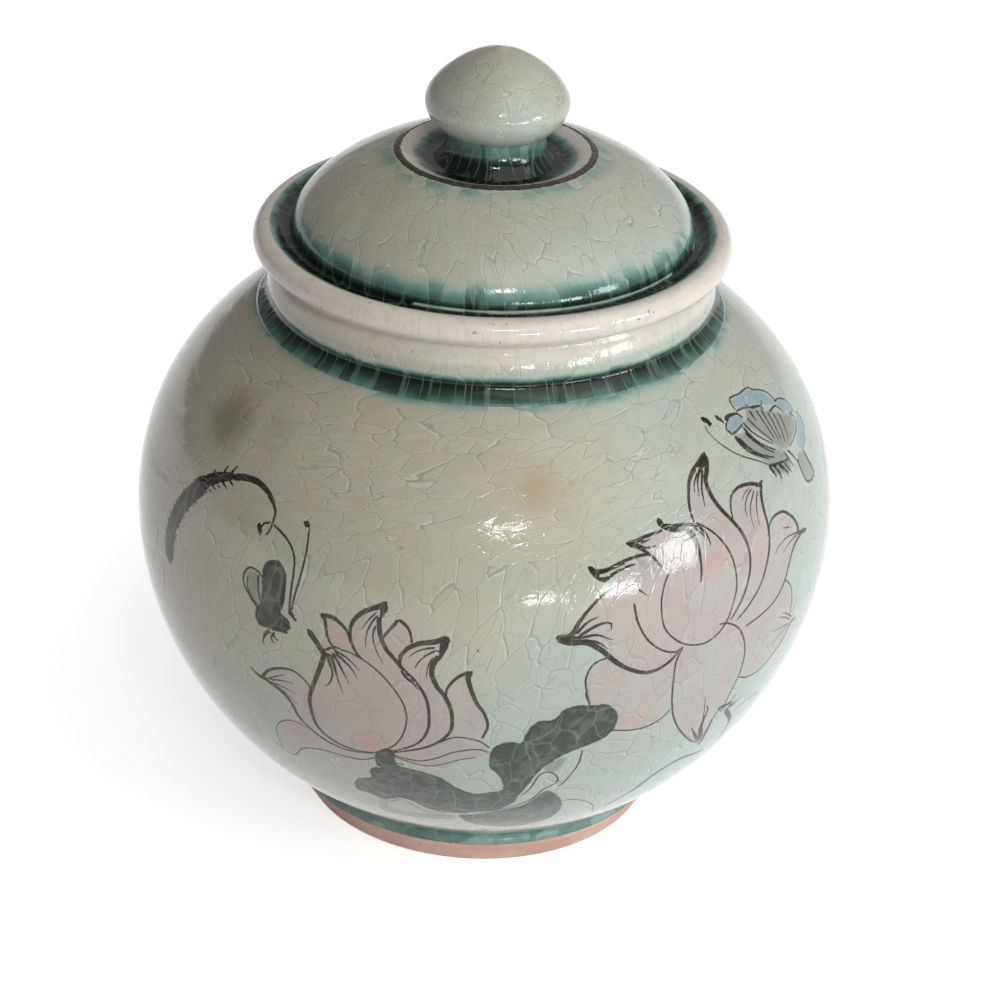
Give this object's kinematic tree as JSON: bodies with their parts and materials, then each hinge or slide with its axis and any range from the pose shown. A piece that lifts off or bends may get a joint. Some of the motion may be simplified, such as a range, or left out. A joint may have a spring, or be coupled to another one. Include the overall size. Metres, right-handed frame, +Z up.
{
  "type": "lidded ceramic jar",
  "caption": "Round-bellied ceramic storage jar on a low foot, with a short beaded neck and a loose domed lid with a rolled brim and an onion-shaped knob.",
  "frame": {"origin": "centre of the foot ring's standing face, on the table", "axes": "+Z up along the jar's axis; -Y is the side that the picture shows; the rest pose is upright with the lid on"},
  "size_m": [0.15, 0.15, 0.1725],
  "materials": {
    "jar_glaze": "glossy grey-green celadon with a fine crackle",
    "neck_glaze": "glossy thin celadon over pale clay",
    "lid_glaze": "glossy grey-green celadon with a fine crackle",
    "knob_glaze": "glossy grey-green celadon",
    "bare_clay": "matt bare clay, fired pink-orange",
    "lid_bare_clay": "matt bare clay"
  },
  "bodies": {
    "jar": {"jar_wall": "jar_glaze", "foot_ring": "bare_clay", "neck_collar": "neck_glaze"},
    "lid": {"lid_dome": "lid_glaze", "locating_ring": "lid_bare_clay", "knob": "knob_glaze"}
  },
  "joints": [
    {"name": "lid_lift", "type": "slide", "parent": "jar", "child": "lid", "axis": [0, 0, 1], "range_m": [0, 0.12]}
  ]
}
